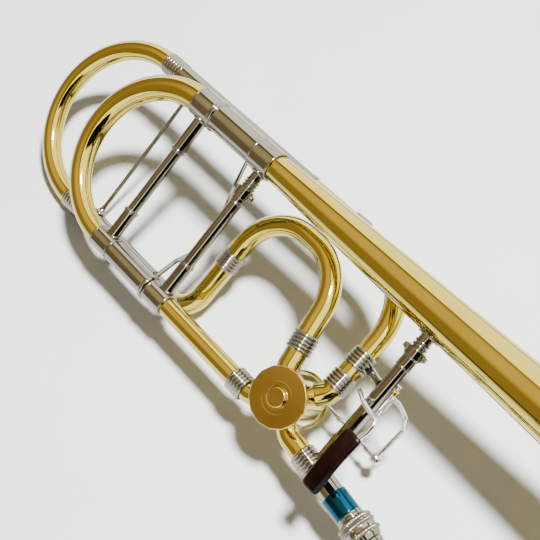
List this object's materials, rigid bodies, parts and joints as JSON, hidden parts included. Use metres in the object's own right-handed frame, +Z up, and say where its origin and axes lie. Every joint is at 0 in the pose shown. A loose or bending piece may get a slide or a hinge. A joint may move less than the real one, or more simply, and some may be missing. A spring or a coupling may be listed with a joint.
{
  "type": "trombone",
  "caption": "Tenor trombone with a rotary valve and F tubing: flared bell, two tuning slides, thumb lever, and a telescoping hand slide with a slide lock and a water key.",
  "frame": {"origin": "centre of the bounding box in X and Y, on the surface the instrument lies on", "axes": "+X runs along the tubes towards the bell mouth and the slide bow, +Y is the bell's side, +Z is up with the instrument lying on its bell rim, its F slide and its slide bow"},
  "size_m": [1.1822, 0.3471, 0.2166],
  "materials": {
    "lacquered_brass": "polished, clear lacquer",
    "nickel_silver": "polished nickel silver",
    "chrome_plate": "polished chrome",
    "steel": "bright steel",
    "dark_wood": "varnished",
    "blue_ring_metal": "coloured, glossy",
    "black_rubber": "matte",
    "cork": "matte"
  },
  "bodies": {
    "bell_section": {"bell_flare": "lacquered_brass", "bell_stem": "lacquered_brass", "bell_rim_wire": "lacquered_brass", "bell_ferrule": "nickel_silver", "bell_sleeve": "nickel_silver", "neck_ferrule": "nickel_silver", "neck_inner_tube": "nickel_silver", "neckpipe": "lacquered_brass", "ringed_ferrules": "nickel_silver", "valve_casing": "lacquered_brass", "valve_back_plate": "lacquered_brass", "stop_bumpers": "cork", "gooseneck": "lacquered_brass", "slide_socket": "nickel_silver", "blue_ring": "blue_ring_metal", "loop_elbow": "lacquered_brass", "loop_crown": "lacquered_brass", "loop_s_bend": "lacquered_brass", "return_elbow": "lacquered_brass", "return_link": "lacquered_brass", "return_bend": "lacquered_brass", "f_outer_sleeves": "nickel_silver", "f_slide_stay": "nickel_silver", "front_brace": "nickel_silver", "main_brace": "nickel_silver", "f_stays": "nickel_silver", "hinge_posts": "lacquered_brass", "hinge_pin": "steel", "trigger_spring": "steel"},
    "tuning_slide": {"tuning_crook": "lacquered_brass", "crook_ferrule_bell": "nickel_silver", "crook_ferrule_neck": "nickel_silver", "crook_inner_leg": "nickel_silver", "crook_outer_sleeve": "nickel_silver", "slide_brace": "nickel_silver"},
    "f_slide": {"f_crook": "lacquered_brass", "f_crook_ferrules": "nickel_silver", "f_inner_legs": "nickel_silver"},
    "valve_cap": {"valve_cap": "lacquered_brass"},
    "rotor": {"rotor": "lacquered_brass", "rotor_arm": "steel"},
    "trigger": {"trigger_lever": "steel", "trigger_paddle": "dark_wood", "trigger_arm": "steel"},
    "link": {"link_rod": "steel"},
    "slide_nut": {"bell_nut": "nickel_silver"},
    "inner_slide": {"slide_tenon": "nickel_silver", "mouthpiece_receiver": "nickel_silver", "cork_barrels": "nickel_silver", "grip_brace": "nickel_silver", "inner_tubes": "chrome_plate"},
    "slide_lock": {"slide_lock_ring": "nickel_silver"},
    "outer_slide": {"outer_tubes": "lacquered_brass", "outer_collars": "nickel_silver", "outer_brace": "nickel_silver", "slide_bow": "lacquered_brass", "bow_ferrules": "nickel_silver", "bow_bumper": "black_rubber", "water_key_seat": "lacquered_brass"},
    "water_key": {"water_key": "lacquered_brass"}
  },
  "joints": [
    {"name": "tuning_slide_pull", "type": "slide", "parent": "bell_section", "child": "tuning_slide", "axis": [-1, 0, 0], "range_m": [0, 0.035]},
    {"name": "f_slide_pull", "type": "slide", "parent": "bell_section", "child": "f_slide", "axis": [-1, 0, 0], "range_m": [0, 0.08]},
    {"name": "valve_cap_turn", "type": "hinge", "parent": "bell_section", "child": "valve_cap", "pos_m": [-0.25748, -0.02373, 0.05189], "axis": [0, -0.5356, 0.8445], "continuous": true},
    {"name": "trigger_press", "type": "hinge", "parent": "bell_section", "child": "trigger", "pos_m": [-0.21088, 0.01287, 0.06326], "axis": [0, 0.8445, 0.5356], "range_deg": [0, 25], "stiffness_Nm_per_rad": 0.2, "springref_deg": -14.32},
    {"name": "rotor_turn", "type": "hinge", "parent": "bell_section", "child": "rotor", "pos_m": [-0.25748, -0.02373, 0.05189], "axis": [0, -0.5356, 0.8445], "range_deg": [0, 90]},
    {"name": "link_swing", "type": "hinge", "parent": "trigger", "child": "link", "pos_m": [-0.19838, -0.00257, 0.02505], "axis": [0, 0.8445, 0.5356], "range_deg": [-25, 0]},
    {"name": "nut_turn", "type": "hinge", "parent": "bell_section", "child": "slide_nut", "pos_m": [-0.16726, -0.04644, 0.03882], "axis": [0.9938, -0.1023, -0.043], "continuous": true},
    {"name": "slide_swivel", "type": "hinge", "parent": "bell_section", "child": "inner_slide", "pos_m": [-0.16726, -0.04644, 0.03882], "axis": [0.9938, -0.1023, -0.043], "range_deg": [-40, 90]},
    {"name": "hand_slide", "type": "slide", "parent": "inner_slide", "child": "outer_slide", "axis": [0.9938, -0.1023, -0.043], "range_m": [0, 0.58]},
    {"name": "slide_lock_turn", "type": "hinge", "parent": "inner_slide", "child": "slide_lock", "pos_m": [-0.11421, -0.09904, 0.11085], "axis": [0.9938, -0.1023, -0.043], "range_deg": [0, 30]},
    {"name": "water_key_press", "type": "hinge", "parent": "outer_slide", "child": "water_key", "pos_m": [0.48144, -0.12121, 0.02344], "axis": [0.1094, 0.8394, 0.5324], "range_deg": [0, 18], "stiffness_Nm_per_rad": 0.06, "springref_deg": -17.19}
  ],
  "couplings": [
    {"joint": "rotor_turn", "follows": "trigger_press", "ratio": 3.6},
    {"joint": "link_swing", "follows": "trigger_press", "ratio": -1}
  ]
}
